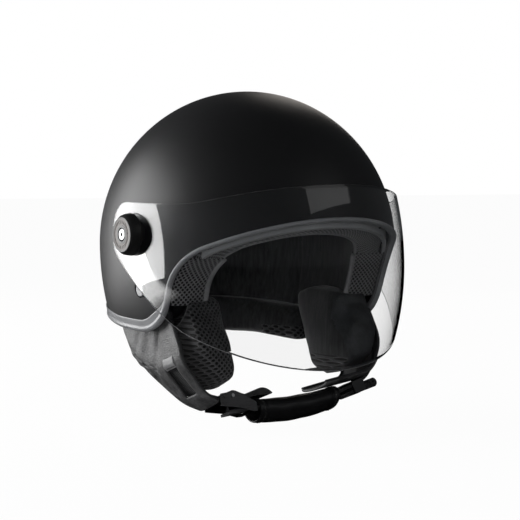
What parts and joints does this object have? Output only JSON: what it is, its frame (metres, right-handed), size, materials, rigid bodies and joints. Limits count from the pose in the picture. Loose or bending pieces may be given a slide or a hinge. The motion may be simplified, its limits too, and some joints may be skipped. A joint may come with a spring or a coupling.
{
  "type": "open face motorcycle helmet",
  "caption": "Open face motorcycle helmet with a clear bubble visor on side knobs, padded lining, ear flaps and a padded chin strap with a ratchet buckle.",
  "frame": {"origin": "centre of the head space on the helmet's middle plane, which is also the centre of the shell's ellipsoid", "axes": "-Y is the front, +Y the back, -X the wearer's right, +X the wearer's left, +Z the crown"},
  "size_m": [0.272, 0.2813, 0.2801],
  "materials": {
    "shell_paint": "matt black paint on a moulded shell",
    "trim_rubber": "satin dark grey rubber",
    "foam": "black expanded foam",
    "retainer_plastic": "grey satin plastic",
    "lining_fabric": "brushed black polyester",
    "spacer_mesh": "3-D spacer mesh",
    "leatherette": "pebbled grey leatherette",
    "sleeve_leatherette": "black leatherette",
    "clear_visor": "clear polycarbonate",
    "knob_plastic": "black textured plastic",
    "ring_steel": "dark burnished steel",
    "chrome": "polished",
    "brass": "plain",
    "rivet_finish": "satin grey",
    "washer_rubber": "soft black rubber",
    "webbing": "black woven polyester webbing",
    "buckle_steel": "plated steel",
    "lever_plastic": "black moulded plastic",
    "rack_plastic": "dark grey nylon"
  },
  "bodies": {
    "shell": {"outer_shell": "shell_paint", "edge_trim": "trim_rubber", "eps_liner": "foam", "brow_retainer": "retainer_plastic", "forehead_band": "spacer_mesh", "temple_pad_right": "spacer_mesh", "temple_pad_left": "spacer_mesh", "crown_lining": "lining_fabric", "neck_roll": "lining_fabric", "cheek_pad_right": "lining_fabric", "cheek_pad_left": "lining_fabric", "visor_washers": "washer_rubber", "visor_inserts": "brass", "strap_rivets": "rivet_finish", "rivet_burrs": "buckle_steel"},
    "visor": {"visor": "clear_visor"},
    "knob_right": {"visor_knob_right": "knob_plastic", "knob_ring_right": "ring_steel", "visor_screw_right": "chrome"},
    "knob_left": {"visor_knob_left": "knob_plastic", "knob_ring_left": "ring_steel", "visor_screw_left": "chrome"},
    "strap_right": {"strap_webbing_right": "webbing", "ear_flap_right": "leatherette", "flap_loop_right": "leatherette", "buckle_frame": "buckle_steel", "lever_pin": "buckle_steel", "webbing_bar": "buckle_steel"},
    "lever": {"buckle_lever": "lever_plastic", "rack_pawl": "buckle_steel"},
    "rack": {"toothed_rack": "rack_plastic", "rack_rivets": "buckle_steel"},
    "strap_left": {"strap_webbing_left": "webbing", "ear_flap_left": "leatherette", "flap_loop_left": "leatherette", "chin_sleeve": "sleeve_leatherette", "strap_slider": "lever_plastic", "strap_tail": "webbing"}
  },
  "joints": [
    {"name": "visor_swing", "type": "hinge", "parent": "shell", "child": "visor", "pos_m": [0, -0.0196, 0.0107], "axis": [-1, 0, 0], "range_deg": [0, 60]},
    {"name": "knob_right_turn", "type": "hinge", "parent": "shell", "child": "knob_right", "pos_m": [-0.13, -0.0196, 0.0107], "axis": [-1, 0, 0], "continuous": true},
    {"name": "knob_left_turn", "type": "hinge", "parent": "shell", "child": "knob_left", "pos_m": [0.13, -0.0196, 0.0107], "axis": [1, 0, 0], "continuous": true},
    {"name": "strap_right_swing", "type": "hinge", "parent": "shell", "child": "strap_right", "pos_m": [-0.11, -0.021, -0.034], "axis": [-1, 0, 0], "range_deg": [-10, 8]},
    {"name": "strap_left_swing", "type": "hinge", "parent": "shell", "child": "strap_left", "pos_m": [0.11, -0.021, -0.034], "axis": [-1, 0, 0], "range_deg": [-10, 8]},
    {"name": "buckle_lever_lift", "type": "hinge", "parent": "strap_right", "child": "lever", "pos_m": [-0.058, -0.05306, -0.12555], "axis": [0, -0.9438, 0.3305], "range_deg": [0, 35], "stiffness_Nm_per_rad": 0.02, "springref_deg": -5.73},
    {"name": "rack_slide", "type": "slide", "parent": "strap_right", "child": "rack", "axis": [0.9962, 0.0288, 0.0823], "range_m": [-0.014, 0.005]}
  ],
  "couplings": [
    {"joint": "strap_left_swing", "follows": "strap_right_swing", "ratio": 1}
  ]
}
